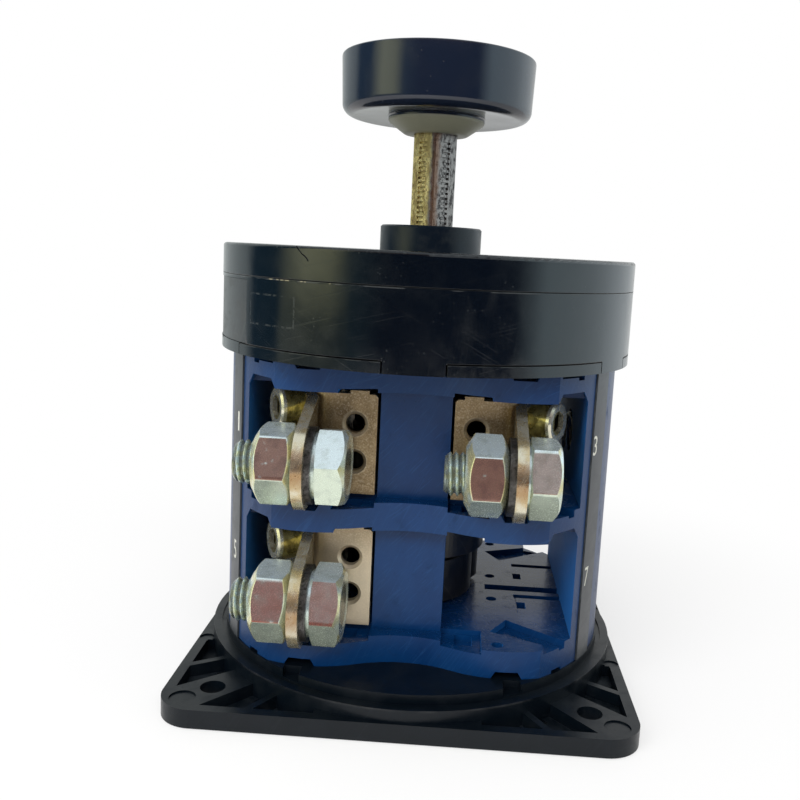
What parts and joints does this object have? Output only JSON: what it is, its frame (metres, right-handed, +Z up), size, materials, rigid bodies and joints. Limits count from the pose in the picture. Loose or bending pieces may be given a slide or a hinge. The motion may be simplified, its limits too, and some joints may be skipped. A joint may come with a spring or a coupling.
{
  "type": "rotary cam switch",
  "caption": "Base-mounted rotary cam switch with stacked contact decks, bolted terminals, round index drum, bare square shaft and round knob.",
  "frame": {"origin": "centre of the base plate's underside, on the shaft's axis", "axes": "+Z up along the shaft towards the knob, -Y towards the front with the odd terminal numbers, +X to the right seen from the front"},
  "size_m": [0.13, 0.13, 0.185],
  "materials": {
    "base_black": "satin thermoset, dusty",
    "drum_black": "polished thermoset, fine scratches",
    "label_black": "glossy, bare",
    "knob_black": "polished thermoset",
    "deck_blue": "satin moulded thermoset",
    "strip_grey": "satin, numbered",
    "cam_black": "satin",
    "slider_cream": "satin nylon",
    "copper_tan": "dull oxidised copper, speckled",
    "tinned_copper": "dull tinned",
    "bridge_copper": "rolled copper",
    "contact_silver": "silver alloy",
    "zinc_steel": "bright zinc with worn flats",
    "yellow_zinc": "yellow passivated zinc",
    "shaft_zinc": "yellow passivated zinc",
    "dark_steel": "blackened",
    "spring_steel": "drawn wire"
  },
  "bodies": {
    "housing": {"base_plate": "base_black", "bottom_flange": "deck_blue", "deck_1_housing": "deck_blue", "deck_2_housing": "deck_blue", "number_strip_front_left": "strip_grey", "number_strip_front_right": "strip_grey", "number_strip_rear_left": "strip_grey", "number_strip_rear_right": "strip_grey", "seat_plate": "drum_black", "index_housing": "drum_black", "label_plate": "label_black", "index_cover": "drum_black", "cover_screws": "dark_steel", "tie_rods": "zinc_steel", "tie_rod_nuts": "zinc_steel", "fixed_tips": "contact_silver", "terminal_bolts": "zinc_steel", "terminal_nuts": "zinc_steel", "lock_washers": "dark_steel", "clamp_screws": "yellow_zinc", "clamp_washers": "yellow_zinc", "detent_rollers": "zinc_steel", "detent_carriers": "slider_cream", "detent_springs": "spring_steel", "terminal_plate_1": "copper_tan", "terminal_lug_1": "tinned_copper", "terminal_plate_2": "copper_tan", "terminal_lug_2": "tinned_copper", "terminal_plate_3": "copper_tan", "terminal_lug_3": "tinned_copper", "terminal_plate_4": "copper_tan", "terminal_lug_4": "tinned_copper", "terminal_plate_5": "copper_tan", "terminal_lug_5": "tinned_copper", "terminal_plate_6": "copper_tan", "terminal_lug_6": "tinned_copper", "contact_spring_1_2": "spring_steel", "contact_spring_3_4": "spring_steel", "contact_spring_5_6": "spring_steel"},
    "rotor": {"shaft": "shaft_zinc", "cam_1_lower": "cam_black", "cam_1_upper": "cam_black", "cam_2_lower": "cam_black", "cam_2_upper": "cam_black", "detent_star": "slider_cream", "shaft_collar": "drum_black", "knob": "knob_black", "knob_screw": "zinc_steel"},
    "contact_1_2": {"carrier_1_2": "slider_cream", "bridge_1_2": "bridge_copper", "bridge_tips_1_2": "contact_silver"},
    "contact_3_4": {"carrier_3_4": "slider_cream", "bridge_3_4": "bridge_copper", "bridge_tips_3_4": "contact_silver"},
    "contact_5_6": {"carrier_5_6": "slider_cream", "bridge_5_6": "bridge_copper", "bridge_tips_5_6": "contact_silver"}
  },
  "joints": [
    {"name": "knob_turn", "type": "hinge", "parent": "housing", "child": "rotor", "pos_m": [0, 0, 0.13], "axis": [0, 0, 1], "range_deg": [0, 90]},
    {"name": "contact_1_2_slide", "type": "slide", "parent": "housing", "child": "contact_1_2", "axis": [-1, 0, 0], "range_m": [0, 0.0035], "deforming": ["contact_spring_1_2"]},
    {"name": "contact_3_4_slide", "type": "slide", "parent": "housing", "child": "contact_3_4", "axis": [1, 0, 0], "range_m": [0, 0.0035], "deforming": ["contact_spring_3_4"]},
    {"name": "contact_5_6_slide", "type": "slide", "parent": "housing", "child": "contact_5_6", "axis": [-1, 0, 0], "range_m": [0, 0.0035], "deforming": ["contact_spring_5_6"]}
  ],
  "couplings": [
    {"joint": "contact_1_2_slide", "follows": "knob_turn", "m_per_rad": 0.0022282},
    {"joint": "contact_3_4_slide", "follows": "knob_turn", "m_per_rad": 0.0022282},
    {"joint": "contact_5_6_slide", "follows": "knob_turn", "m_per_rad": 0.0022282}
  ]
}
